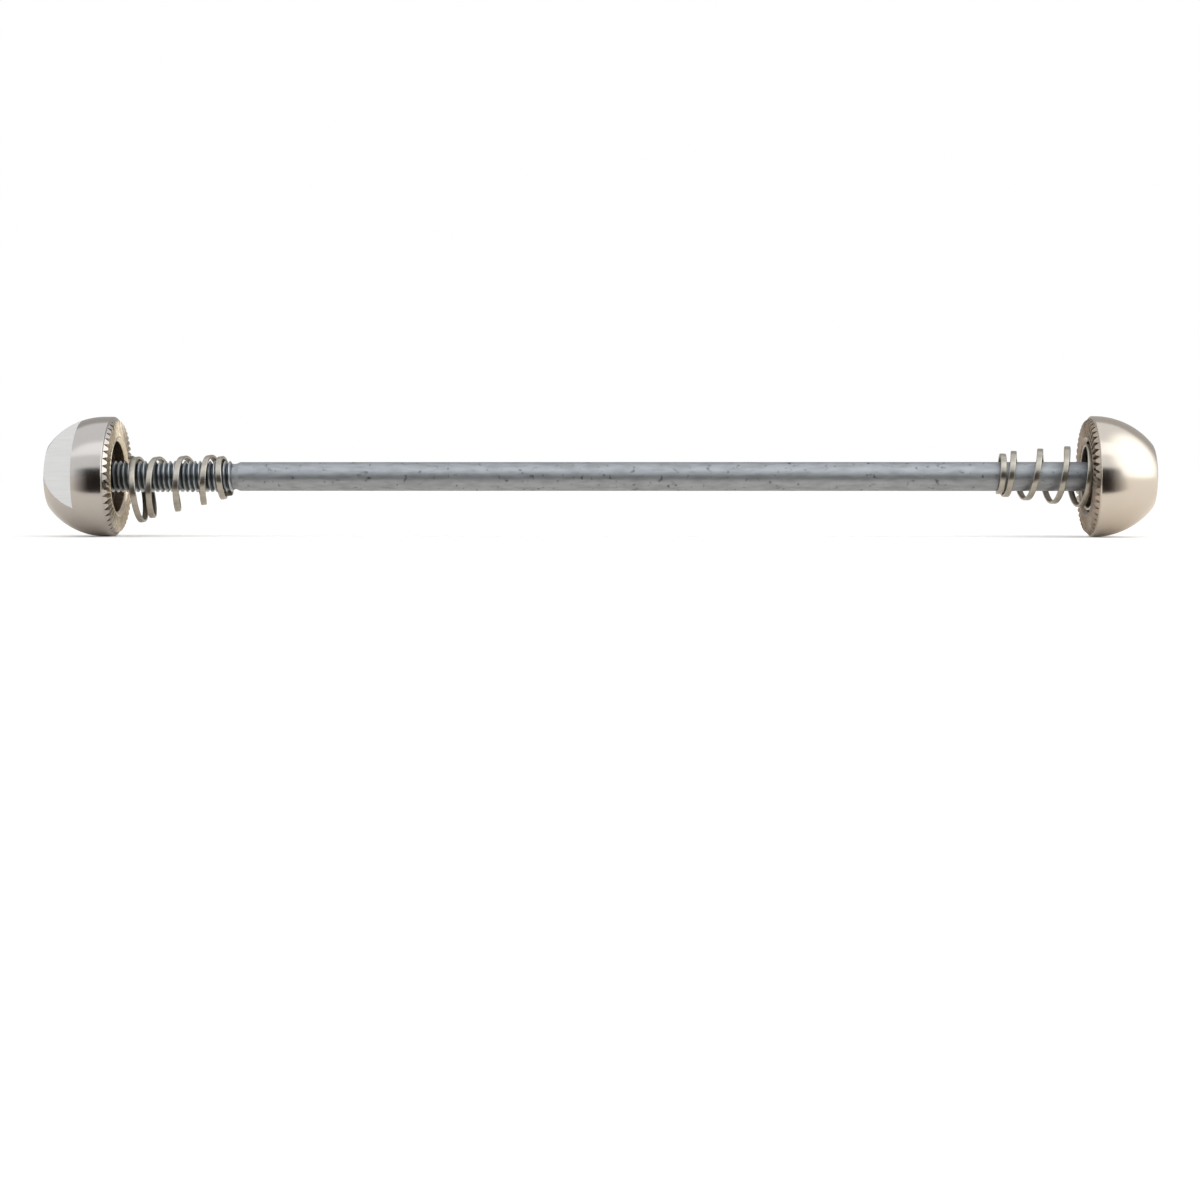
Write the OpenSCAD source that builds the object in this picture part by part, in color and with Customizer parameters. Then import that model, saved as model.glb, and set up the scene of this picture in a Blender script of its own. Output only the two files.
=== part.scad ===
// Keyed wheel skewer for a bicycle hub: a thin steel rod with a domed head pressed on one
// end and a domed nut on its thread. Two flats on the nut take a key. Each clamp face has
// a ring of slanted teeth round a recess, and a conical spring sits beside each face.
// The rod lies along X, with the nut at -X and the head at +X. The origin is on the rod's
// axis, halfway along the whole skewer. Z is up.

/* [Clamp length] */
// Distance between the clamp faces of the nut and the head
clamp_length = 153.5; // [110:0.5:190]

/* [Rod] */
// Diameter of the plain shank
shank_d = 4.6; // [4:0.1:5]
// Outside diameter of the threaded end
thread_d = 5; // [4.8:0.1:5.4]
// Length of the threaded end
thread_length = 28.4; // [20:0.2:40]
// Length of the taper from the thread down to the shank
thread_runout = 0.6; // [0.2:0.1:1.5]
// Chamfer on the rod's free end
tip_chamfer = 0.5; // [0.2:0.1:1]
// How far the rod's free end stops short of the nut's outer end
tip_setback = 1.4; // [0:0.1:3]
// Diameter of the end that is pressed into the head
press_d = 5; // [4.6:0.1:5.4]
// Length of the end that is pressed into the head
press_length = 6.5; // [4:0.1:7.5]

/* [Domed caps] */
// Diameter of the nut and of the head at the rim
cap_d = 19.1; // [17:0.1:24]
// Length of the nut over its crown
nut_length = 11.35; // [10:0.05:14]
// Length of the head over its crown
head_length = 10.75; // [10:0.05:14]
// Length of the nut's straight rim, beyond the sloping shoulder
nut_rim = 1.5; // [0.1:0.05:3]
// Length of the head's straight rim, beyond the sloping shoulder
head_rim = 0.4; // [0.1:0.05:3]
// Diameter of the end face that stops the nut's dome
nut_end_d = 10.7; // [9:0.1:13]
// Diameter of the end face that stops the head's dome
head_end_d = 10.3; // [9:0.1:13]
// How far the crown of each end face rises
crown_rise = 0.45; // [0.1:0.05:1]
// Fall of the sloping shoulder outside the teeth
shoulder_fall = 0.3; // [0.1:0.05:0.6]
// Diameter of the recess in the clamp face
recess_d = 11.2; // [11:0.1:12.4]
// Depth of the recess in the clamp face
recess_depth = 2.1; // [1.6:0.1:3]

/* [Teeth] */
// Number of teeth on each clamp face
tooth_count = 48; // [24:1:60]
// Diameter over the ring of teeth
tooth_outer_d = 17.5; // [15:0.1:18]
// Diameter inside the ring of teeth
tooth_inner_d = 12.8; // [12.6:0.1:14.5]
// Depth of the grooves at the outside of the ring
tooth_depth = 0.45; // [0.2:0.05:0.6]
// Height of the wall between the bottom of the grooves and the shoulder
tooth_foot = 0.05; // [0.02:0.01:0.2]
// Angle between a groove and the radius
tooth_slant = 18; // [0:1:30]

/* [Nut] */
// Radial clearance between the rod's thread and the nut's bore
thread_clearance = 0.05; // [0.02:0.01:0.1]
// Distance across the two key flats
key_width = 10; // [8:0.1:14]
// Distance from the clamp face to the step where the flats begin
key_start = 5.7; // [4:0.1:7.5]
// Tilt of the flats' normal above the horizontal
key_tilt = 23; // [0:1:90]

/* [Springs] */
// Width of the flat wire, along the spring
wire_w = 0.95; // [0.6:0.05:1.1]
// Thickness of the flat wire, across the spring
wire_t = 0.45; // [0.3:0.05:0.6]
// Chamfer on the edges of the wire
wire_edge = 0.1; // [0.02:0.01:0.14]
// Outside diameter of the spring's large end
spring_large_d = 10.8; // [10:0.1:10.9]
// Gap between the spring's small end and the thread
spring_rod_gap = 0.16; // [0.1:0.02:0.3]
// Number of turns of the wire
spring_turns = 5.5; // [4:0.5:7]
// Advance of one open turn
open_pitch = 4.25; // [2:0.05:4.4]
// Gap between the head's spring and the floor of its recess
spring_seat_gap = 0.3; // [0.1:0.05:0.6]
// Angle by which the head's spring leans up from the rod
spring_lean = 1.2; // [0:0.1:1.2]
// Distance from the nut's clamp face to the nearest point of its spring
spring_stand_off = 1.2; // [0.1:0.1:4]

/* [Hidden] */
$fn = 96;

// Overrun of a cut past the surface that it opens
cut = 0.5 * tooth_depth;
// Places along X, worked out from the clamp length and the caps
overall_length = nut_length + clamp_length + head_length;
nut_face_x = nut_length - overall_length / 2;
head_face_x = overall_length / 2 - head_length;
tip_x = tip_setback - overall_length / 2;
socket_end_x = head_face_x + recess_depth + press_length;

// The caps' outline
cap_r = cap_d / 2;
wall_end = tooth_depth + tooth_foot;
shoulder_end = wall_end + shoulder_fall;

// The teeth
tooth_outer_r = tooth_outer_d / 2;
tooth_mid_r = (tooth_outer_d + tooth_inner_d) / 4;
groove_share = 0.86;
groove_w = groove_share * PI * tooth_outer_d / tooth_count;
// The grooves get shallower towards the axis, so that the lands keep their share
groove_fall = atan(tooth_depth / tooth_outer_r);

// The springs
closed_turns = 0.9;
ramp_turns = 0.8;
turn_steps = 24;
ring_count = ceil(spring_turns * turn_steps);
closed_pitch = wire_w + 0.5 * wire_edge;
small_r = thread_d / 2 + spring_rod_gap + wire_t;
large_r = spring_large_d / 2;
spring_reach = spring_place(spring_turns);
// The nut's spring hangs on the rod, so its wide end drops until the top of a coil meets the
// thread. Its wire starts at the bottom, so the tops come half a turn later and then each turn.
spring_sag = min([for (t = [0.5 : spring_turns]) hang_angle(t)]);
// Where the nut's spring has its small end along X, and the head's spring its large end
nut_spring_x = nut_face_x + spring_stand_off + large_r * sin(spring_sag)
    + (spring_reach + wire_w / 2) * cos(spring_sag);
head_spring_seat_x = head_face_x + recess_depth - spring_seat_gap - wire_w / 2;

// Turns gained by a rate that grows evenly from 0 at turn a to 1 at turn b, up to turn t
function gained(t, a, b) =
    t <= a ? 0 : t < b ? pow(t - a, 2) / (2 * (b - a)) : t - (a + b) / 2;

// Distance of the wire's middle along the spring, t turns from the small end
function spring_place(t) =
    closed_pitch * t + (open_pitch - closed_pitch)
    * (gained(t, closed_turns, closed_turns + ramp_turns)
       - gained(t, spring_turns - closed_turns - ramp_turns, spring_turns - closed_turns));

// Outside radius of the spring, t turns from the small end
function spring_radius(t) =
    small_r + (large_r - small_r) * min(1, t / (spring_turns - closed_turns / 2));

// Tilt at which the inside of the coil, t turns from the small end, meets the rod's thread
function hang_angle(t) =
    let (inside = spring_radius(t) - wire_t, along = spring_place(t) + wire_w / 2)
    acos((thread_d / 2 + spring_rod_gap) / norm([inside, along])) - atan2(along, inside);

// Corners of the wire's section as [across, along], going round once
function wire_section() =
    let (w = wire_w / 2, t = wire_t, e = wire_edge)
    [[0, e - w], [0, w - e], [-e, w], [e - t, w],
     [-t, w - e], [-t, e - w], [e - t, -w], [-e, -w]];

// One section of the wire, turned to its place round the spring
function wire_ring(t, start) =
    let (turn = start - 360 * t, r = spring_radius(t), z = spring_place(t))
    [for (p = wire_section()) [(r + p[0]) * cos(turn), (r + p[0]) * sin(turn), z + p[1]]];

// A conical spring of flat wire along +Z, wound left-handed from its small end at z = 0
module conical_spring(start) {
    sides = len(wire_section());
    rings = [for (i = [0 : ring_count]) wire_ring(i * spring_turns / ring_count, start)];
    points = [for (ring = rings) for (p = ring) p];
    walls = [
        for (i = [0 : ring_count - 1]) for (j = [0 : sides - 1])
            let (k = (j + 1) % sides, a = i * sides, b = (i + 1) * sides)
            each [[a + j, b + k, a + k], [a + j, b + j, b + k]]
    ];
    first = [for (j = [0 : sides - 1]) j];
    last = [for (j = [sides - 1 : -1 : 0]) ring_count * sides + j];
    polyhedron(points = points, faces = concat(walls, [first, last]));
}

// Radius of an arc that rises to the given height over half of the given width
function arc_radius(half_width, height) = (pow(half_width, 2) + pow(height, 2)) / (2 * height);

// Half section of a cap as [radius, height], with its clamp face at the bottom. One arc makes
// the dome, from the rim to the corner of the end face, and another makes the crown.
module cap_section(length, rim, end_d) {
    rim_end = shoulder_end + rim;
    dome_r = arc_radius(length - crown_rise - rim_end, (cap_d - end_d) / 2);
    crown_r = arc_radius(end_d / 2, crown_rise);
    intersection() {
        polygon([
            [0, 0], [tooth_outer_r, 0], [tooth_outer_r, wall_end],
            [cap_r, shoulder_end], [cap_r, length], [0, length]
        ]);
        union() {
            square([cap_r, rim_end]);
            translate([cap_r - dome_r, rim_end]) circle(r = dome_r);
        }
        translate([0, length - crown_r]) circle(r = crown_r);
    }
}

// One V groove between two teeth, cut into the clamp face
module tooth_groove() {
    run = tooth_outer_r - tooth_inner_d / 2;
    spread = groove_w / 2 * (tooth_depth + cut) / tooth_depth;
    translate([tooth_mid_r, 0, tooth_depth * tooth_mid_r / tooth_outer_r])
        rotate([0, -groove_fall, tooth_slant])
            translate([-run / 2, 0, 0])
                rotate([90, 0, 90])
                    linear_extrude(height = 2 * run)
                        polygon([[0, 0], [spread, -tooth_depth - cut], [-spread, -tooth_depth - cut]]);
}

// A turned cap along +Z, with its clamp face at z = 0 and a hole of the given size
module cap(length, rim, end_d, hole_d, hole_end) {
    difference() {
        rotate_extrude() cap_section(length, rim, end_d);
        translate([0, 0, -cut]) cylinder(d = recess_d, h = recess_depth + cut);
        translate([0, 0, recess_depth - cut]) cylinder(d = hole_d, h = hole_end - recess_depth + cut);
        for (i = [0 : tooth_count - 1])
            rotate([0, 0, 360 * i / tooth_count]) tooth_groove();
    }
}

// What the two key flats leave: a slot-shaped cutter on each side of the key width
module key_flats() {
    for (side = [-1, 1])
        translate([side * (key_width + cap_d) / 2, 0, key_start + nut_length / 2])
            cube([cap_d, 2 * cap_d, nut_length], center = true);
}

module rod() {
    thread_r = thread_d / 2;
    shank_r = shank_d / 2;
    press_r = press_d / 2;
    thread_end = tip_x + thread_length;
    head_seat = head_face_x + recess_depth;
    color("lightslategray")
        rotate([0, 90, 0])
            rotate_extrude()
                polygon([
                    [0, tip_x], [thread_r - tip_chamfer, tip_x], [thread_r, tip_x + tip_chamfer],
                    [thread_r, thread_end], [shank_r, thread_end + thread_runout],
                    [shank_r, head_seat], [press_r, head_seat],
                    [press_r, socket_end_x], [0, socket_end_x]
                ]);
}

module keyed_nut() {
    color("rosybrown")
        translate([nut_face_x, 0, 0])
            rotate([0, -90, 0])
                difference() {
                    cap(nut_length, nut_rim, nut_end_d, thread_d + 2 * thread_clearance, nut_length + cut);
                    rotate([0, 0, 90 + key_tilt]) key_flats();
                }
}

module head() {
    color("tan")
        translate([head_face_x, 0, 0])
            rotate([0, 90, 0])
                cap(head_length, head_rim, head_end_d, press_d, recess_depth + press_length);
}

module nut_spring() {
    color("darkkhaki")
        translate([nut_spring_x, 0, 0])
            rotate([0, -90 - spring_sag, 0])
                conical_spring(180);
}

module head_spring() {
    color("darkkhaki")
        translate([head_spring_seat_x, 0, 0])
            rotate([0, 90 + spring_lean, 0])
                translate([0, 0, -spring_reach])
                    conical_spring(0);
}

rod();
keyed_nut();
head();
nut_spring();
head_spring();
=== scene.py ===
import math

import bpy
from mathutils import Matrix, Vector


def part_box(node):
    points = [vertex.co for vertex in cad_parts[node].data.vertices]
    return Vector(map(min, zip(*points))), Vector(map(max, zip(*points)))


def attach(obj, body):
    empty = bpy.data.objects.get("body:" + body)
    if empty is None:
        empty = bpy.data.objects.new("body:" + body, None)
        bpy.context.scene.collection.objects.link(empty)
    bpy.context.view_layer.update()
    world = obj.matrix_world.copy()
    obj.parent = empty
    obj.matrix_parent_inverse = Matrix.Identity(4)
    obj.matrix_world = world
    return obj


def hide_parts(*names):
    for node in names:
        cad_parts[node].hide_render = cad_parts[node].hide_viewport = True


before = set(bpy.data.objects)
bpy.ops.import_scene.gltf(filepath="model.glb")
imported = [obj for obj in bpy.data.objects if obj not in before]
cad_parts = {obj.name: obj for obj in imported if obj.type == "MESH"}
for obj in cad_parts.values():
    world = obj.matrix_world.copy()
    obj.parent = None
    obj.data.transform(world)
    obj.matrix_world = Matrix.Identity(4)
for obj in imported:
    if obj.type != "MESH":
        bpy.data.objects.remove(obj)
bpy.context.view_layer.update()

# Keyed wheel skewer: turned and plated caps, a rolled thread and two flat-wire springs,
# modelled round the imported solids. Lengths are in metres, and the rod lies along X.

MM = 0.001
FULL_TURN = 2 * math.pi
MERGE_GAP = 0.001 * MM
CORNER_REACH = 0.01 * MM

# Places and sizes of the solids, read from the frame
NUT_LOW, NUT_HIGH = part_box("keyed_nut")
HEAD_LOW, HEAD_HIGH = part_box("head")
ROD_LOW, ROD_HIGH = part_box("rod")
NUT_FACE_X = NUT_HIGH.x
HEAD_FACE_X = HEAD_LOW.x
CAP_R = (HEAD_HIGH.z - HEAD_LOW.z) / 2
THREAD_R = (ROD_HIGH.z - ROD_LOW.z) / 2
TIP_X = ROD_LOW.x
ROD_END_X = ROD_HIGH.x
FLOOR_Z = min(NUT_LOW.z, HEAD_LOW.z)

# Sizes of the turned caps
NUT_LENGTH = 11.35 * MM
NUT_RIM = 1.5 * MM
NUT_END_R = 5.35 * MM
HEAD_LENGTH = 10.75 * MM
HEAD_RIM = 0.4 * MM
HEAD_END_R = 5.15 * MM
CROWN_RISE = 0.45 * MM
SHOULDER_FALL = 0.3 * MM
RECESS_R = 5.6 * MM
RECESS_DEPTH = 2.1 * MM
MOUTH_R = 6.15 * MM
MOUTH_DEPTH = 0.5 * MM
EDGE_ROUND = 0.12 * MM
EDGE_STEPS = 3
EDGE_ANGLE = math.radians(28)
DOME_STEPS = 40
CROWN_STEPS = 8
LATHE_STEPS = 192
# Corners of a cap's outline that are eased: those round the recess, the shoulder and the end face
EASED_CORNERS = [1, 2, 3, 4, 7, 8 + DOME_STEPS]

# Sizes of the teeth. A ridge sinks into the floor of the grooves, so that no gap shows there,
# and its outer end runs down and outwards into the shoulder.
TOOTH_COUNT = 48
TOOTH_OUTER_R = 8.75 * MM
TOOTH_INNER_R = 6.4 * MM
TOOTH_DEPTH = 0.45 * MM
TOOTH_FOOT = 0.05 * MM
TOOTH_SLANT = math.radians(18)
CREST_SHARE = 0.34
ROOT_SHARE = 0.98
RIDGE_ROUND = 0.13 * MM
RIDGE_STEPS = 4
RIDGE_SINK = 0.04 * MM
RIDGE_RISE = 0.01 * MM
RIDGE_END_RUN = 0.5 * MM
RIDGE_END_FALL = 0.18 * MM

# Sizes of the key flats
KEY_WIDTH = 10 * MM
KEY_START = 5.7 * MM
KEY_TILT = math.radians(23)
KEY_NORMAL = Vector((0, -math.cos(KEY_TILT), math.sin(KEY_TILT)))

# Sizes of the rod: an M5 thread of 0.8 mm pitch rolled on a 4.6 mm shank
SHANK_R = 2.3 * MM
THREAD_LENGTH = 28.4 * MM
THREAD_END_X = TIP_X + THREAD_LENGTH
THREAD_PITCH = 0.8 * MM
THREAD_ROOT_R = 2.02 * MM
THREAD_STEPS = 48
TIP_CHAMFER = 0.5 * MM
NECK_LENGTH = 0.9 * MM
THREAD_CLEARANCE = 0.05 * MM
BORE_R = THREAD_R + THREAD_CLEARANCE

# Sizes of the springs
WIRE_W = 0.95 * MM
WIRE_T = 0.45 * MM
WIRE_ROUND = 0.16 * MM
WIRE_ROUND_STEPS = 4
WIRE_EDGE_ANGLE = math.radians(40)
SPRING_CLEARANCE = 0.16 * MM
SPRING_SMALL_R = THREAD_R + SPRING_CLEARANCE + WIRE_T
SPRING_LARGE_R = 5.4 * MM
SPRING_TURNS = 5.5
OPEN_PITCH = 4.25 * MM
CLOSED_GAP = 0.05 * MM
CLOSED_PITCH = WIRE_W + CLOSED_GAP
CLOSED_TURNS = 0.9
RAMP_TURNS = 0.8
SPRING_STEPS = 48
SPRING_SEAT_GAP = 0.3 * MM
SPRING_STAND_OFF = 1.2 * MM
SPRING_LEAN = math.radians(1.2)
SPRING_SAG = math.radians(8.0)

# Sizes of the marks on the metal. The lathe's rings and the mill's scratches are drawn coarser
# than real ones, because marks 0.05 mm apart would not show.
MARK_DEPTH = 0.02 * MM
CLOUD_SIZE = 3.5 * MM
RING_SPACING = 0.12 * MM
RING_LENGTH = 30 * MM
SCRATCH_LENGTH = 4 * MM
SCRATCH_SPACING = 0.1 * MM
MARK_LENGTH = 2.4 * MM
MARK_WIDTH = 0.7 * MM
SPECK_SPACING = 0.9 * MM


def deselect():
    if bpy.context.object and bpy.context.object.mode != "OBJECT":
        bpy.ops.object.mode_set(mode="OBJECT")
    bpy.ops.object.select_all(action="DESELECT")


def pick(piece):
    """Makes a piece the active one and the only one that is selected."""
    deselect()
    piece.select_set(True)
    bpy.context.view_layer.objects.active = piece


def settle(name):
    """Names the active piece and moves its place into its mesh."""
    piece = bpy.context.object
    piece.name = name
    piece.data.name = name
    bpy.ops.object.transform_apply(location=True, rotation=True, scale=True)
    return piece


def select_where(piece, wanted):
    """Selects the vertices of a piece in edit mode whose place passes a test."""
    bpy.ops.object.mode_set(mode="EDIT")
    bpy.ops.mesh.select_mode(type="VERT")
    bpy.ops.mesh.select_all(action="DESELECT")
    bpy.ops.object.mode_set(mode="OBJECT")
    for vertex in piece.data.vertices:
        vertex.select = bool(wanted(vertex.co))
    bpy.ops.object.mode_set(mode="EDIT")


def close_mesh():
    """Merges doubles and turns all faces outwards."""
    bpy.ops.mesh.select_all(action="SELECT")
    bpy.ops.mesh.remove_doubles(threshold=MERGE_GAP)
    bpy.ops.mesh.normals_make_consistent(inside=False)


def radius_at(place):
    """Distance of a place from the rod's axis."""
    return math.hypot(place.y, place.z)


def outward_share(place, normal):
    """1 where a face looks straight away from the rod's axis, and -1 where it looks at the axis."""
    return (place.y * normal.y + place.z * normal.z) / radius_at(place)


def draw_outline(name, points):
    """A line of edges through points of (x, radius), made by extruding one vertex."""
    deselect()
    bpy.ops.mesh.primitive_plane_add(size=MM, location=(0, 0, 0))
    piece = bpy.context.object
    piece.name = name
    bpy.ops.object.mode_set(mode="EDIT")
    bpy.ops.mesh.merge(type="CENTER")
    place = Vector((points[0][0], 0, points[0][1]))
    bpy.ops.transform.translate(value=place)
    for x, radius in points[1:]:
        step = Vector((x, 0, radius)) - place
        bpy.ops.mesh.extrude_region_move(TRANSFORM_OT_translate={"value": step})
        place += step
    return piece


def turn_on_lathe(name, points, rounded, closed=False):
    """A solid turned about X from its outline. The corners whose places in the outline are in
    rounded are eased."""
    piece = draw_outline(name, points)
    if closed:
        bpy.ops.mesh.select_all(action="SELECT")
        bpy.ops.mesh.edge_face_add()
        bpy.ops.mesh.delete(type="ONLY_FACE")
    corners = [Vector((points[i][0], 0, points[i][1])) for i in rounded]
    select_where(piece, lambda co: any((co - c).length < CORNER_REACH for c in corners))
    bpy.ops.mesh.bevel(offset=EDGE_ROUND, segments=EDGE_STEPS, affect="VERTICES")
    bpy.ops.mesh.select_all(action="SELECT")
    bpy.ops.mesh.spin(steps=LATHE_STEPS, angle=FULL_TURN, center=(0, 0, 0), axis=(1, 0, 0))
    close_mesh()
    bpy.ops.object.mode_set(mode="OBJECT")
    return settle(name)


def smooth(piece, angle=EDGE_ANGLE):
    pick(piece)
    bpy.ops.object.shade_smooth_by_angle(angle=angle)


def arc(start, radius, angle_from, angle_to, steps):
    """Points of an arc about a centre, as (along, radius), without its first point."""
    turn = (angle_to - angle_from) / steps
    angles = [angle_from + turn * i for i in range(1, steps + 1)]
    return [(start[0] + radius * math.sin(a), start[1] + radius * math.cos(a)) for a in angles]


def cap_outline(length, rim, end_r, bore_r):
    """Points (distance from the clamp face, radius) of a cap, from its recess to its crown."""
    wall_end = TOOTH_DEPTH + TOOTH_FOOT
    shoulder_end = wall_end + SHOULDER_FALL
    rim_end = shoulder_end + rim
    inner_floor = wall_end * TOOTH_INNER_R / TOOTH_OUTER_R
    dome_run = length - CROWN_RISE - rim_end
    dome_fall = CAP_R - end_r
    dome_r = (dome_run ** 2 + dome_fall ** 2) / (2 * dome_fall)
    crown_r = (end_r ** 2 + CROWN_RISE ** 2) / (2 * CROWN_RISE)
    points = [
        (RECESS_DEPTH, bore_r), (RECESS_DEPTH, RECESS_R), (MOUTH_DEPTH, RECESS_R),
        (0, MOUTH_R), (0, TOOTH_INNER_R), (inner_floor, TOOTH_INNER_R),
        (wall_end, TOOTH_OUTER_R), (shoulder_end, CAP_R), (rim_end, CAP_R),
    ]
    points += arc((rim_end, CAP_R - dome_r), dome_r, 0, math.asin(dome_run / dome_r), DOME_STEPS)
    points += arc((length - crown_r, 0), crown_r, math.acos(end_r / crown_r),
                  math.acos(bore_r / crown_r), CROWN_STEPS)
    return points


def make_head():
    outline = cap_outline(HEAD_LENGTH, HEAD_RIM, HEAD_END_R, 0)
    points = [(HEAD_FACE_X + along, radius) for along, radius in outline]
    return turn_on_lathe("head_body", points, EASED_CORNERS)


def make_nut():
    """The nut's cap with its bore, then a slab taken off each side for the key."""
    outline = cap_outline(NUT_LENGTH, NUT_RIM, NUT_END_R, BORE_R)
    points = [(NUT_FACE_X - along, radius) for along, radius in outline]
    piece = turn_on_lathe("nut_body", points, EASED_CORNERS, closed=True)
    slab = 2 * NUT_LENGTH
    for side in (-1, 1):
        deselect()
        centre = KEY_NORMAL * side * (KEY_WIDTH + slab) / 2
        centre.x = NUT_FACE_X - KEY_START - slab / 2
        bpy.ops.mesh.primitive_cube_add(size=1, location=centre)
        cutter = bpy.context.object
        cutter.scale = (slab, slab, 2 * slab)
        cutter.rotation_euler = (-KEY_TILT, 0, 0)
        bpy.ops.object.transform_apply(location=True, rotation=True, scale=True)
        pick(piece)
        cut = piece.modifiers.new("key flat", "BOOLEAN")
        cut.operation = "DIFFERENCE"
        cut.object = cutter
        cut.solver = "EXACT"
        bpy.ops.object.modifier_apply(modifier=cut.name)
        bpy.data.objects.remove(cutter)
    return piece


def make_teeth(name, face_x, side):
    """One slanted ridge with a round crest and a sloping outer end, copied round the face."""
    def near_crest(co):
        return (co.x - face_x) * side < TOOTH_DEPTH / 2

    depth = TOOTH_DEPTH + TOOTH_FOOT + RIDGE_SINK
    crest = face_x - side * RIDGE_RISE
    mid_r = (TOOTH_OUTER_R + TOOTH_INNER_R) / 2
    pitch = FULL_TURN * TOOTH_OUTER_R / TOOTH_COUNT
    deselect()
    bpy.ops.mesh.primitive_cube_add(
        size=1, location=((crest + face_x + side * depth) / 2, 0, mid_r))
    piece = bpy.context.object
    piece.scale = (abs(face_x + side * depth - crest), pitch, TOOTH_OUTER_R - TOOTH_INNER_R)
    bpy.ops.object.transform_apply(location=True, rotation=True, scale=True)
    select_where(piece, near_crest)
    bpy.ops.transform.resize(value=(1, CREST_SHARE, 1))
    select_where(piece, lambda co: not near_crest(co))
    bpy.ops.transform.resize(value=(1, ROOT_SHARE, 1))
    # The outer end slopes down to the shoulder, so that each groove ends there in a V
    select_where(piece, lambda co: co.z > mid_r and not near_crest(co))
    bpy.ops.transform.resize(value=(1, 1 + RIDGE_END_RUN / TOOTH_OUTER_R, 1))
    bpy.ops.transform.translate(value=(side * RIDGE_END_FALL, 0, RIDGE_END_RUN))
    # The inner end is a smaller copy of the outer end, turned round the rod by the slant
    inward = TOOTH_INNER_R / TOOTH_OUTER_R
    turn = math.atan((TOOTH_OUTER_R - TOOTH_INNER_R) * math.tan(TOOTH_SLANT) / mid_r)
    select_where(piece, lambda co: co.z < mid_r)
    bpy.ops.transform.resize(value=(inward, inward, 1), center_override=(face_x, 0, 0))
    bpy.ops.transform.rotate(
        value=side * turn, orient_axis="X", center_override=(face_x, 0, 0))
    # The middle of the first ridge lies half a pitch from the top of the face
    bpy.ops.mesh.select_all(action="SELECT")
    bpy.ops.transform.rotate(
        value=side * (math.pi / TOOTH_COUNT - turn / 2), orient_axis="X",
        center_override=(face_x, 0, 0))
    select_where(piece, near_crest)
    bpy.ops.mesh.bevel(offset=RIDGE_ROUND, segments=RIDGE_STEPS, affect="EDGES")
    bpy.ops.mesh.select_all(action="SELECT")
    last = TOOTH_COUNT - 1
    bpy.ops.mesh.spin(
        steps=last, dupli=True, angle=FULL_TURN * last / TOOTH_COUNT,
        center=(0, 0, 0), axis=(1, 0, 0))
    bpy.ops.mesh.select_all(action="SELECT")
    bpy.ops.mesh.normals_make_consistent(inside=False)
    bpy.ops.object.mode_set(mode="OBJECT")
    return settle(name)


def make_thread():
    """One pitch of the thread's outline wound along the rod, cut square at both ends."""
    flat = THREAD_PITCH / 8
    rise = (THREAD_PITCH - 2 * flat) / 2
    start = TIP_X - THREAD_PITCH
    points = [
        (start, THREAD_ROOT_R), (start + flat, THREAD_ROOT_R), (start + flat + rise, THREAD_R),
        (start + 2 * flat + rise, THREAD_R), (start + THREAD_PITCH, THREAD_ROOT_R),
    ]
    piece = draw_outline("rod_thread", points)
    bpy.ops.object.mode_set(mode="OBJECT")
    wind = piece.modifiers.new("wind", "SCREW")
    wind.axis = "X"
    wind.screw_offset = THREAD_PITCH
    wind.iterations = math.ceil(THREAD_LENGTH / THREAD_PITCH) + 2
    wind.steps = THREAD_STEPS
    wind.render_steps = THREAD_STEPS
    wind.use_merge_vertices = True
    wind.merge_threshold = MERGE_GAP
    bpy.ops.object.modifier_apply(modifier=wind.name)
    bpy.ops.object.mode_set(mode="EDIT")
    close_mesh()
    for x, way in ((TIP_X, -1), (THREAD_END_X, 1)):
        bpy.ops.mesh.select_all(action="SELECT")
        bpy.ops.mesh.bisect(
            plane_co=(x, 0, 0), plane_no=(way, 0, 0), use_fill=True, clear_outer=True)
    bpy.ops.object.mode_set(mode="OBJECT")
    # The crests run out in a chamfer at the tip and in another at the neck
    for vertex in piece.data.vertices:
        radius = radius_at(vertex.co)
        allowed = min(
            THREAD_R - TIP_CHAMFER + max(vertex.co.x - TIP_X, 0),
            THREAD_ROOT_R + max(THREAD_END_X - vertex.co.x, 0))
        if radius > allowed:
            vertex.co.y *= allowed / radius
            vertex.co.z *= allowed / radius
    bpy.ops.object.mode_set(mode="EDIT")
    close_mesh()
    bpy.ops.object.mode_set(mode="OBJECT")
    return settle("rod_thread")


def make_shank():
    """The plain bar: a neck at the thread's root size, a chamfer, and the pressed end."""
    start = THREAD_END_X - THREAD_PITCH / 4
    seat = HEAD_FACE_X + RECESS_DEPTH
    shank_corner = 3
    points = [
        (start, 0), (start, THREAD_ROOT_R),
        (THREAD_END_X + NECK_LENGTH / 3, THREAD_ROOT_R), (THREAD_END_X + NECK_LENGTH, SHANK_R),
        (seat, SHANK_R), (seat, THREAD_R), (ROD_END_X, THREAD_R), (ROD_END_X, 0),
    ]
    return turn_on_lathe("rod_shank", points, [shank_corner])


def gained(t, a, b):
    """Turns gained up to t by a rate that grows evenly from 0 at turn a to 1 at turn b."""
    if t <= a:
        return 0
    return (t - a) ** 2 / (2 * (b - a)) if t < b else t - (a + b) / 2


def spring_place(t):
    """Distance along the spring's axis after t turns from its small end."""
    first = gained(t, CLOSED_TURNS, CLOSED_TURNS + RAMP_TURNS)
    last = gained(t, SPRING_TURNS - CLOSED_TURNS - RAMP_TURNS, SPRING_TURNS - CLOSED_TURNS)
    return CLOSED_PITCH * t + (OPEN_PITCH - CLOSED_PITCH) * (first - last)


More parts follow.
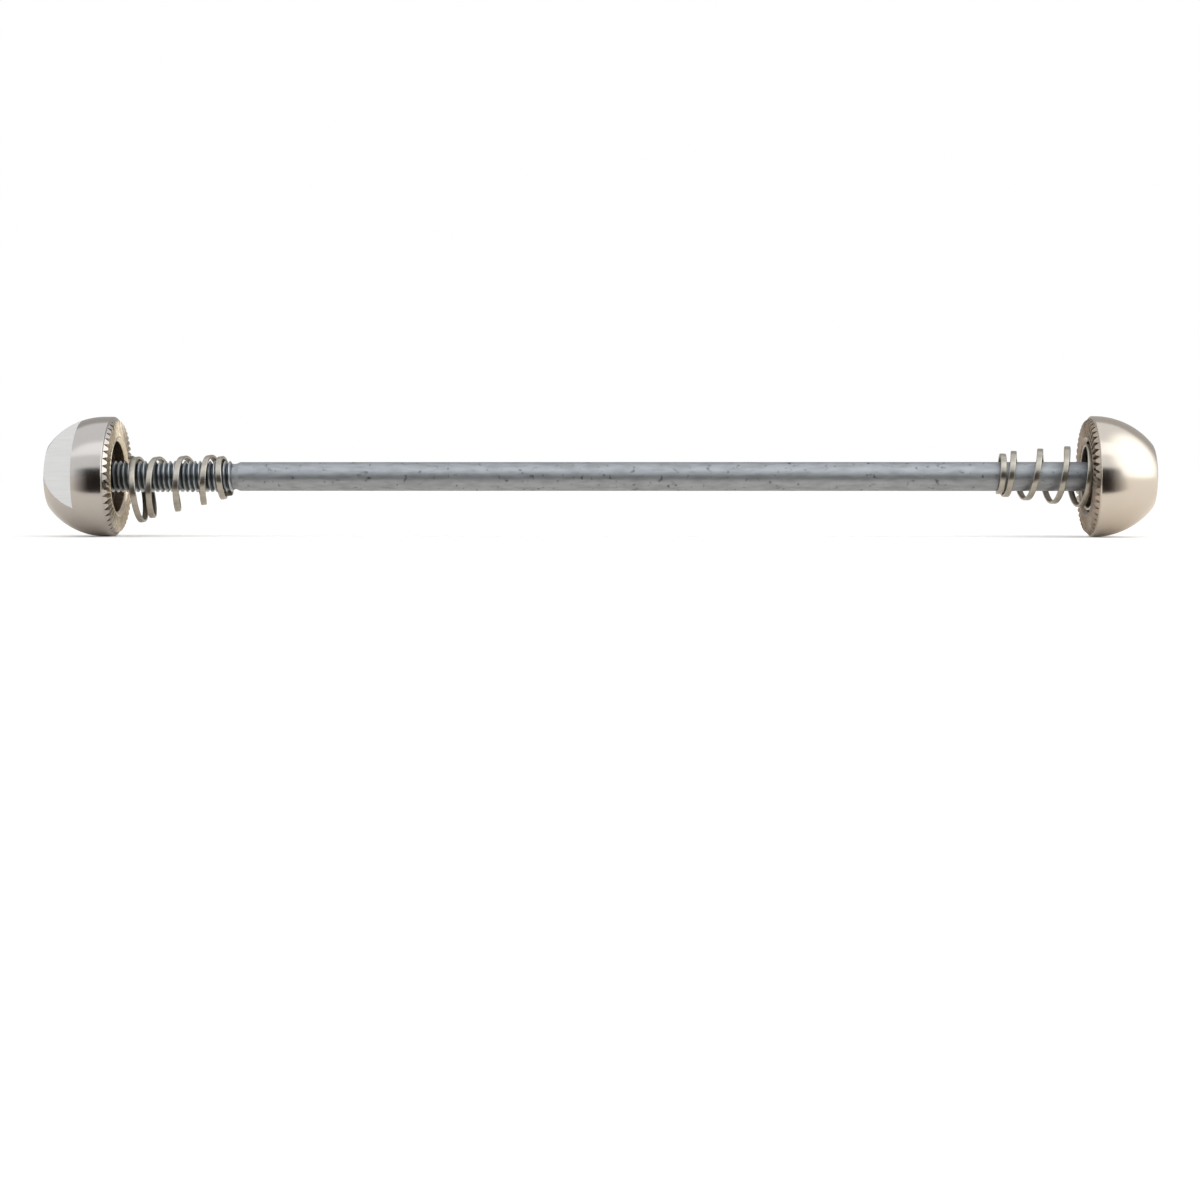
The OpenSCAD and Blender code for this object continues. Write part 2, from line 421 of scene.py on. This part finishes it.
def spring_radius(t):
    """Outer radius of the coil after t turns from its small end."""
    share = min(1, t / (SPRING_TURNS - CLOSED_TURNS / 2))
    return SPRING_SMALL_R + (SPRING_LARGE_R - SPRING_SMALL_R) * share


def make_spring(name, start, matrix):
    """Flat wire with rounded edges, coiled left-handed along Z and then put in its place."""
    deselect()
    bpy.ops.curve.primitive_bezier_circle_add(radius=MM)
    section = bpy.context.object
    section.data.splines.clear()
    half_w, half_t, ease = WIRE_W / 2, WIRE_T / 2, WIRE_ROUND
    corners = [(half_t - ease, half_w - ease), (ease - half_t, half_w - ease),
               (ease - half_t, ease - half_w), (half_t - ease, ease - half_w)]
    line = section.data.splines.new("POLY")
    places = WIRE_ROUND_STEPS + 1
    line.points.add(len(corners) * places - 1)
    for i, (x, y) in enumerate(corners):
        for j in range(places):
            angle = math.pi / 2 * (i + j / WIRE_ROUND_STEPS)
            line.points[i * places + j].co = (
                x + ease * math.cos(angle), y + ease * math.sin(angle), 0, 1)
    line.use_cyclic_u = True
    deselect()
    bpy.ops.curve.primitive_bezier_curve_add()
    piece = bpy.context.object
    piece.data.splines.clear()
    wire = piece.data.splines.new("POLY")
    count = math.ceil(SPRING_TURNS * SPRING_STEPS)
    wire.points.add(count)
    for i in range(count + 1):
        t = i * SPRING_TURNS / count
        middle = spring_radius(t) - WIRE_T / 2
        angle = start - FULL_TURN * t
        wire.points[i].co = (middle * math.cos(angle), middle * math.sin(angle), spring_place(t), 1)
    piece.data.dimensions = "3D"
    piece.data.twist_mode = "Z_UP"
    piece.data.bevel_mode = "OBJECT"
    piece.data.bevel_object = section
    piece.data.use_fill_caps = True
    bpy.ops.object.convert(target="MESH")
    bpy.data.objects.remove(section)
    piece = bpy.context.object
    piece.data.transform(matrix)
    bpy.ops.object.mode_set(mode="EDIT")
    close_mesh()
    bpy.ops.object.mode_set(mode="OBJECT")
    return settle(name)


def colour(hex_code):
    """An sRGB hex colour as linear RGBA."""
    channels = [int(hex_code[i:i + 2], 16) / 255 for i in (0, 2, 4)]
    linear = [c / 12.92 if c <= 0.04045 else ((c + 0.055) / 1.055) ** 2.4 for c in channels]
    return (*linear, 1)


def add(tree, kind, inputs=None, **settings):
    """Adds a node with its settings, and its inputs as values or as links from sockets."""
    made = tree.nodes.new(kind)
    for key, value in settings.items():
        setattr(made, key, value)
    for key, value in (inputs or {}).items():
        if isinstance(value, bpy.types.NodeSocket):
            tree.links.new(value, made.inputs[key])
        else:
            made.inputs[key].default_value = value
    return made


def new_material(name):
    """A material without nodes, and its empty tree."""
    material = bpy.data.materials.new(name)
    material.use_nodes = True
    material.node_tree.nodes.clear()
    return material, material.node_tree


def turned_plate(name, light, dark, roughness):
    """Bright plate over turned steel. It gives the eye a soft mirror, and the fine rings that
    the lathe left under it blur the picture in it along the rod."""
    material, tree = new_material(name)
    place = add(tree, "ShaderNodeTexCoord").outputs["Object"]
    cloud = add(tree, "ShaderNodeTexNoise", {
        "Vector": place, "Scale": 1 / CLOUD_SIZE, "Detail": 3.0}).outputs["Fac"]
    across = add(tree, "ShaderNodeMapping", {
        "Vector": place, "Scale": (1 / RING_SPACING, 1 / RING_LENGTH, 1 / RING_LENGTH)})
    rings = add(tree, "ShaderNodeTexNoise", {
        "Vector": across.outputs["Vector"], "Scale": 1.0, "Detail": 2.0}).outputs["Fac"]
    tone = add(tree, "ShaderNodeMix", {0: cloud, 6: colour(light), 7: colour(dark)},
               data_type="RGBA").outputs[2]
    rough = add(tree, "ShaderNodeMapRange", {
        "Value": cloud, "From Min": 0.3, "From Max": 0.7,
        "To Min": roughness - 0.01, "To Max": roughness + 0.02}).outputs["Result"]
    bump = add(tree, "ShaderNodeBump", {
        "Height": rings, "Strength": 0.04, "Distance": MARK_DEPTH})
    shader = add(tree, "ShaderNodeBsdfPrincipled", {
        "Base Color": tone, "Metallic": 1.0, "Roughness": rough,
        "Normal": bump.outputs["Normal"]})
    add(tree, "ShaderNodeOutputMaterial", {"Surface": shader.outputs["BSDF"]})
    return material


def milled_steel():
    """Bare steel as the cutter left it on the key flats. It is paler than the plate round it,
    and short scratches along the rod make it a dull, even white."""
    scratch_turn = 0.3
    material, tree = new_material("milled steel")
    place = add(tree, "ShaderNodeTexCoord").outputs["Object"]
    along = add(tree, "ShaderNodeMapping", {
        "Vector": place, "Rotation": (KEY_TILT, 0, scratch_turn),
        "Scale": (1 / SCRATCH_LENGTH, 1 / (2 * SCRATCH_SPACING), 1 / SCRATCH_SPACING)})
    marks = add(tree, "ShaderNodeTexNoise", {
        "Vector": along.outputs["Vector"], "Scale": 1.0, "Detail": 3.0}).outputs["Fac"]
    tone = add(tree, "ShaderNodeMix", {0: marks, 6: colour("b8b8b7"), 7: colour("d2d1d1")},
               data_type="RGBA").outputs[2]
    bump = add(tree, "ShaderNodeBump", {
        "Height": marks, "Strength": 0.12, "Distance": MARK_DEPTH})
    shader = add(tree, "ShaderNodeBsdfPrincipled", {
        "Base Color": tone, "Metallic": 1.0, "Roughness": 0.36,
        "Normal": bump.outputs["Normal"]})
    add(tree, "ShaderNodeOutputMaterial", {"Surface": shader.outputs["BSDF"]})
    return material


def groove_shade_share(tree, floor_x):
    """Painted shade, partly stain where the plate is thin: a small share at the floor of the
    grooves, and 1 at the crests of the teeth.
    """
    groove_shade_floor_share = 0.15
    place = add(tree, "ShaderNodeTexCoord").outputs["Object"]
    x = add(tree, "ShaderNodeSeparateXYZ", {"Vector": place}).outputs["X"]
    step = add(tree, "ShaderNodeMath", {0: x, 1: floor_x}, operation="SUBTRACT").outputs[0]
    height = add(tree, "ShaderNodeMath", {0: step}, operation="ABSOLUTE").outputs[0]
    return add(tree, "ShaderNodeMapRange", {
        "Value": height, "From Min": 0.0, "From Max": TOOTH_DEPTH + TOOTH_FOOT,
        "To Min": groove_shade_floor_share}).outputs["Result"]


def share_from_axis(tree, inner_r, outer_r):
    """0 at the inner radius and 1 at the outer radius about the rod's axis."""
    place = add(tree, "ShaderNodeTexCoord").outputs["Object"]
    across = add(tree, "ShaderNodeVectorMath", {0: place, 1: (0, 1, 1)}, operation="MULTIPLY")
    radius = add(tree, "ShaderNodeVectorMath", {0: across.outputs["Vector"]},
                 operation="LENGTH").outputs["Value"]
    return add(tree, "ShaderNodeMapRange", {
        "Value": radius, "From Min": inner_r, "From Max": outer_r}).outputs["Result"]


def share_clear_of_specks(tree):
    """0 on small specks where the zinc has stained, and 1 between them."""
    place = add(tree, "ShaderNodeTexCoord").outputs["Object"]
    spread = add(tree, "ShaderNodeTexNoise", {
        "Vector": place, "Scale": 1 / SPECK_SPACING, "Detail": 1.0}).outputs["Fac"]
    return add(tree, "ShaderNodeMapRange", {
        "Value": spread, "From Min": 0.78, "From Max": 0.65}).outputs["Result"]


def marked_metal(name, light, dark, roughness, mottle, light_share=None):
    """Metal with soft dark marks drawn out along the rod. The tone goes from dark to light by the
    share that light_share works out from nodes, or is light where there is none. On the teeth, in
    the recess and on the thread that share is painted light and shade."""
    material, tree = new_material(name)
    place = add(tree, "ShaderNodeTexCoord").outputs["Object"]
    drawn = add(tree, "ShaderNodeMapping", {
        "Vector": place, "Scale": (1 / MARK_LENGTH, 1 / MARK_WIDTH, 1 / MARK_WIDTH)})
    spots = add(tree, "ShaderNodeTexNoise", {
        "Vector": drawn.outputs["Vector"], "Scale": 1.0, "Detail": 5.0}).outputs["Fac"]
    patch = add(tree, "ShaderNodeMapRange", {
        "Value": spots, "From Min": 0.35, "From Max": 0.6,
        "To Min": 1.0 - mottle, "To Max": 1.0}).outputs["Result"]
    share = light_share(tree) if light_share else 1.0
    marks_and_painted_light = add(tree, "ShaderNodeMath", {0: patch, 1: share}, operation="MULTIPLY").outputs[0]
    tone = add(tree, "ShaderNodeMix", {0: marks_and_painted_light, 6: colour(dark), 7: colour(light)},
               data_type="RGBA").outputs[2]
    bump = add(tree, "ShaderNodeBump", {
        "Height": spots, "Strength": 0.15, "Distance": MARK_DEPTH})
    shader = add(tree, "ShaderNodeBsdfPrincipled", {
        "Base Color": tone, "Metallic": 1.0, "Roughness": roughness,
        "Normal": bump.outputs["Normal"]})
    add(tree, "ShaderNodeOutputMaterial", {"Surface": shader.outputs["BSDF"]})
    return material


def make_materials():
    nut_groove_x = NUT_FACE_X - TOOTH_DEPTH - TOOTH_FOOT
    head_groove_x = HEAD_FACE_X + TOOTH_DEPTH + TOOTH_FOOT
    return {
        # Nickel over turned steel: a cool grey mirror on the nut, a warmer and paler one on the head
        "nut": turned_plate("satin nickel plate", "c2bfbd", "b9b5b2", 0.19),
        "head": turned_plate("champagne nickel plate", "d6cfc6", "cdc5bb", 0.18),
        "flat": milled_steel(),
        # Plate with painted shade in the grooves, partly stain where it is thin: crests stand out,
        # gold here and brown there
        "nut teeth": marked_metal(
            "nut's teeth plate with painted groove shade", "d6cab6", "3d352b", 0.3, 0.3,
            lambda tree: groove_shade_share(tree, nut_groove_x)),
        "head teeth": marked_metal(
            "head's teeth plate with painted groove shade", "ac9e8f", "2f2822", 0.3, 0.3,
            lambda tree: groove_shade_share(tree, head_groove_x)),
        # Ends of the head's ridges: its plate with painted shade, darker than on the nut yet lighter
        # than the brown grooves
        "head ridge ends shaded": marked_metal(
            "plate with painted shade on the head's ridge ends", "b3a597", "7b6e62", 0.28, 0.4),
        # The turned mouth of the recess, bright like the crests on the nut and dark brown on the
        # head
        "nut mouth": marked_metal(
            "nickel plate round the nut's recess", "ddd2bf", "a89c88", 0.26, 0.3),
        "head mouth": marked_metal(
            "nickel plate round the head's recess", "8f8275", "5d5248", 0.3, 0.4),
        # Hardly any plate reaches the recess: it looks brown, with painted shade that grows darker
        # towards the rod
        "recess": marked_metal(
            "thin plate in the recess with painted shade", "7d7062", "2c2520", 0.4, 0.4,
            lambda tree: share_from_axis(tree, SHANK_R, TOOTH_INNER_R)),
        # Zinc plate on drawn bar: a matt blue grey with long, faint stains and a few dark specks
        "zinc": marked_metal(
            "zinc plated steel", "abb0b6", "6a6e71", 0.5, 0.3, share_clear_of_specks),
        # The same zinc, with a painted highlight on the rolled crests and painted shade in the roots
        "thread": marked_metal(
            "zinc plated thread with painted light and shade", "cbd1d6", "5c6268", 0.36, 0.2,
            lambda tree: share_from_axis(tree, THREAD_ROOT_R, THREAD_R)),
        # Drawn and rolled spring wire: warm grey outside, and inside the coil a darker copy, painted
        # shade partly with dull oxide
        "spring": marked_metal("spring steel", "b8b4ab", "86827a", 0.3, 0.3),
        "spring shaded inside": marked_metal("painted shade and oxide inside the coil", "7d776d", "544f47", 0.4, 0.3),
    }


def paint_where(piece, material, wanted):
    """Gives a material to the faces of a piece whose centre and normal pass a test."""
    piece.data.materials.append(material)
    for face in piece.data.polygons:
        if wanted(face.center, face.normal):
            face.material_index = len(piece.data.materials) - 1


def paint_cap(piece, face_x, side, teeth, mouth, recess):
    """Gives the clamp face, the mouth of the recess and its inside their own materials; those of the
    teeth and of the inside carry painted shade.
    """
    def ring(centre, low, high):
        return low < radius_at(centre) < high

    paint_where(piece, teeth, lambda centre, normal: (
        ring(centre, TOOTH_INNER_R, TOOTH_OUTER_R)
        and (centre.x - face_x) * side < TOOTH_DEPTH + TOOTH_FOOT))
    paint_where(piece, mouth, lambda centre, normal: (
        ring(centre, RECESS_R, TOOTH_INNER_R + EDGE_ROUND / 4)
        and (centre.x - face_x) * side < MOUTH_DEPTH + EDGE_ROUND))
    paint_where(piece, recess, lambda centre, normal: (
        ring(centre, 0, RECESS_R + EDGE_ROUND / 4)
        and MOUTH_DEPTH < (centre.x - face_x) * side < RECESS_DEPTH + EDGE_ROUND / 4))


def paint_ridges(piece, plate):
    """Gives the sloping outer ends of the ridges a plate of their own: the cap's plate on the nut, a
    copy with painted shade on the head.
    """
    least_outward = 0.5
    paint_where(piece, plate, lambda centre, normal: (
        outward_share(centre, normal) > least_outward
        and radius_at(centre) > TOOTH_OUTER_R - RIDGE_ROUND))


def paint_flats(piece, flat):
    """Leaves the key flats and the step behind them bare."""
    paint_where(piece, flat, lambda centre, normal: (
        NUT_FACE_X - centre.x > KEY_START - EDGE_ROUND / 2
        and abs(centre.dot(KEY_NORMAL)) > KEY_WIDTH / 2 - EDGE_ROUND / 2))


def paint_coil(piece, inside):
    """Gives the side of the wire that looks at the rod its darker copy: painted shade, partly dull
    oxide.
    """
    most_outward = -0.8
    paint_where(piece, inside, lambda centre, normal: (
        outward_share(centre, normal) < most_outward))


def dress(piece, material, body):
    """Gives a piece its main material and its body."""
    piece.data.materials.clear()
    piece.data.materials.append(material)
    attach(piece, body)


def make_floor():
    """White paper that keeps the skewer's shadow. The camera sees it a little lighter, and the
    metal a little warmer."""
    floor_size, camera_lift = 6.0, 0.12
    deselect()
    bpy.ops.mesh.primitive_plane_add(size=floor_size, location=(0, 0, FLOOR_Z))
    floor = settle("floor")
    material, tree = new_material("white paper")
    rays = add(tree, "ShaderNodeLightPath").outputs
    lift = add(tree, "ShaderNodeMath", {0: rays["Is Camera Ray"], 1: camera_lift},
               operation="MULTIPLY").outputs[0]
    tone = add(tree, "ShaderNodeMix", {
        0: rays["Is Glossy Ray"], 6: colour("f4f4f4"), 7: colour("efe8df")},
        data_type="RGBA").outputs[2]
    paper = add(tree, "ShaderNodeBsdfDiffuse", {"Color": tone})
    glow = add(tree, "ShaderNodeEmission", {"Color": (1, 1, 1, 1), "Strength": lift})
    both = add(tree, "ShaderNodeAddShader", {0: paper.outputs[0], 1: glow.outputs[0]})
    add(tree, "ShaderNodeOutputMaterial", {"Surface": both.outputs[0]})
    floor.data.materials.append(material)


def make_card(name, centre, size, tilt, shade, strength, clear):
    """A glowing card that the camera doesn't see, only the metal. It lets through the share of a
    ray that clear works out from nodes."""
    deselect()
    bpy.ops.mesh.primitive_plane_add(size=1, location=centre, rotation=tilt)
    card = bpy.context.object
    card.scale = (size[0], size[1], 1)
    card = settle(name)
    material, tree = new_material(name)
    glow = add(tree, "ShaderNodeEmission", {"Color": colour(shade), "Strength": strength})
    nothing = add(tree, "ShaderNodeBsdfTransparent")
    both = add(tree, "ShaderNodeMixShader", {
        0: clear(tree), 1: glow.outputs[0], 2: nothing.outputs[0]})
    add(tree, "ShaderNodeOutputMaterial", {"Surface": both.outputs[0]})
    card.data.materials.append(material)
    card.visible_camera = False
    card.visible_diffuse = False
    card.visible_shadow = False
    return card


def fade_sideways(tree, widest):
    """Fades a card out towards the widest angle, as a tangent, at which a cap looks past it."""
    place = add(tree, "ShaderNodeTexCoord").outputs["Object"]
    axes = add(tree, "ShaderNodeSeparateXYZ", {"Vector": place}).outputs
    x = add(tree, "ShaderNodeMath", {0: axes["X"]}, operation="ABSOLUTE").outputs[0]
    y = add(tree, "ShaderNodeMath", {0: axes["Y"]}, operation="ABSOLUTE").outputs[0]
    past = add(tree, "ShaderNodeMath", {0: x, 1: HEAD_FACE_X}, operation="SUBTRACT").outputs[0]
    angle = add(tree, "ShaderNodeMath", {0: past, 1: y}, operation="DIVIDE").outputs[0]
    return add(tree, "ShaderNodeMapRange", {
        "Value": angle, "From Min": widest / 3, "From Max": widest}).outputs["Result"]


def fade_round(tree, centre, radius):
    """Fades a card out from its centre to a circle."""
    place = add(tree, "ShaderNodeTexCoord").outputs["Object"]
    away = add(tree, "ShaderNodeVectorMath", {0: place, 1: centre}, operation="DISTANCE")
    return add(tree, "ShaderNodeMapRange", {
        "Value": away.outputs["Value"], "From Min": 0.3 * radius, "From Max": radius},
        interpolation_type="SMOOTHSTEP").outputs["Result"]


def make_lamp(name, place, size, brightness):
    """An area lamp aimed at the skewer. White paper has a brightness of 1."""
    deselect()
    bpy.ops.object.light_add(type="AREA", location=place)
    lamp = bpy.context.object
    lamp.name = name
    lamp.data.shape = "ELLIPSE"
    lamp.data.size, lamp.data.size_y = size
    lamp.data.energy = brightness * math.pi * size[0] * size[1]
    lamp.rotation_euler = (-Vector(place)).to_track_quat("-Z", "Y").to_euler()


def make_world():
    world = bpy.data.worlds.new("white room")
    bpy.context.scene.world = world
    world.use_nodes = True
    tree = world.node_tree
    tree.nodes.clear()
    room = add(tree, "ShaderNodeBackground", {"Color": (1, 1, 1, 1), "Strength": 1.0})
    add(tree, "ShaderNodeOutputWorld", {"Surface": room.outputs[0]})


def make_camera():
    """The photograph's view: level with the rod, and a little round to its head. Its focal
    length and the height of the rod's axis are in pixels of the photograph's frame."""
    middle = Vector(((NUT_FACE_X + HEAD_FACE_X) / 2, 0, 0))
    distance, nearest = 360 * MM, 10 * MM
    azimuth = math.radians(1.5)
    focal_px, frame_px, axis_px, sensor_mm = 2265, 1200, 476.5, 36
    back = Vector((math.sin(azimuth), -math.cos(azimuth), 0))
    bpy.ops.object.camera_add(location=middle + back * distance)
    camera = bpy.context.object
    camera.rotation_euler = (-back).to_track_quat("-Z", "Y").to_euler()
    camera.data.sensor_width = sensor_mm
    camera.data.lens = sensor_mm * focal_px / frame_px
    camera.data.shift_y = (axis_px - frame_px / 2) / frame_px
    camera.data.clip_start = nearest
    bpy.context.scene.camera = camera


def make_cards():
    """What the polished caps mirror: a dark card and a dark mat in front, a grey card behind and
    a round window beside the head, which also lights the scene. Places and sizes in metres."""
    upright, level = (math.pi / 2, 0, 0), (0, 0, 0)
    dark, grey, bright = "231c19", "bcb8b4", "fffefa"
    window, window_r = (0.50, -0.13, 0.22), 0.58
    facing = Vector(window).to_track_quat("Z", "Y").to_euler()
    make_card("dark card", centre=(0, -0.5, 0.05), size=(1.6, 0.19), tilt=upright, shade=dark,
              strength=1.0, clear=lambda tree: fade_sideways(tree, widest=1.1))
    make_card("dark mat", centre=(0, -0.26, FLOOR_Z + 0.2 * MM), size=(1.6, 0.48), tilt=level,
              shade=dark, strength=1.0, clear=lambda tree: fade_sideways(tree, widest=1.1))
    make_card("grey card", centre=(0, 0.5, 0.32), size=(2.4, 0.80), tilt=upright, shade=grey,
              strength=1.0, clear=lambda tree: fade_sideways(tree, widest=3.0))
    light = make_card("window", centre=window, size=(1.2, 1.2), tilt=facing, shade=bright,
                      strength=2.1, clear=lambda tree: fade_round(tree, window, window_r))
    light.visible_diffuse = True


def make_scene():
    bpy.context.scene.view_settings.view_transform = "Standard"
    make_camera()
    make_world()
    make_floor()
    make_cards()
    make_lamp("front lamp", place=(0, -0.35, 0.50), size=(1.6, 0.30), brightness=0.4)


def add_nut(materials):
    nut = make_nut()
    smooth(nut)
    dress(nut, materials["nut"], "nut")
    paint_cap(nut, NUT_FACE_X, -1,
              materials["nut teeth"], materials["nut mouth"], materials["recess"])
    paint_flats(nut, materials["flat"])
    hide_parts("keyed_nut")
    nut_teeth = make_teeth("nut_teeth", NUT_FACE_X, -1)
    smooth(nut_teeth)
    dress(nut_teeth, materials["nut teeth"], "nut")
    paint_ridges(nut_teeth, materials["nut"])


def add_head(materials):
    head = make_head()
    smooth(head)
    dress(head, materials["head"], "skewer")
    paint_cap(head, HEAD_FACE_X, 1,
              materials["head teeth"], materials["head mouth"], materials["recess"])
    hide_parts("head")
    head_teeth = make_teeth("head_teeth", HEAD_FACE_X, 1)
    smooth(head_teeth)
    dress(head_teeth, materials["head teeth"], "skewer")
    # The ends of the head's ridges get the plate with painted shade
    paint_ridges(head_teeth, materials["head ridge ends shaded"])


def add_rod(materials):
    shank = make_shank()
    smooth(shank)
    dress(shank, materials["zinc"], "skewer")
    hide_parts("rod")
    thread = make_thread()
    smooth(thread)
    dress(thread, materials["thread"], "skewer")


def add_head_spring(materials):
    """The head's spring: its wide end sits in the recess, and it leans up a little."""
    reach = spring_place(SPRING_TURNS)
    seat_x = HEAD_FACE_X + RECESS_DEPTH - SPRING_SEAT_GAP - WIRE_W / 2
    place = Matrix.Translation((seat_x, 0, 0)) \
        @ Matrix.Rotation(math.pi / 2 + SPRING_LEAN, 4, "Y") @ Matrix.Translation((0, 0, -reach))
    head_spring = make_spring("head_spring_wire", 0, place)
    smooth(head_spring, WIRE_EDGE_ANGLE)
    dress(head_spring, materials["spring"], "skewer")
    # The side of the wire facing the rod gets painted shade, partly oxide
    paint_coil(head_spring, materials["spring shaded inside"])
    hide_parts("head_spring")


def add_nut_spring(materials):
    """The nut's spring: it hangs from the thread, and its wide end sags clear of the clamp face."""
    reach = spring_place(SPRING_TURNS)
    small_x = NUT_FACE_X + SPRING_STAND_OFF + SPRING_LARGE_R * math.sin(SPRING_SAG) \
        + (reach + WIRE_W / 2) * math.cos(SPRING_SAG)
    place = Matrix.Translation((small_x, 0, 0)) @ Matrix.Rotation(-math.pi / 2 - SPRING_SAG, 4, "Y")
    nut_spring = make_spring("nut_spring_wire", math.pi, place)
    smooth(nut_spring, WIRE_EDGE_ANGLE)
    # The side of the wire facing the rod gets painted shade, partly oxide
    dress(nut_spring, materials["spring"], "spring_carriage")
    paint_coil(nut_spring, materials["spring shaded inside"])
    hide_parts("nut_spring")


def make_skewer():
    materials = make_materials()
    add_nut(materials)
    add_head(materials)
    add_rod(materials)
    add_head_spring(materials)
    add_nut_spring(materials)


make_scene()
make_skewer()
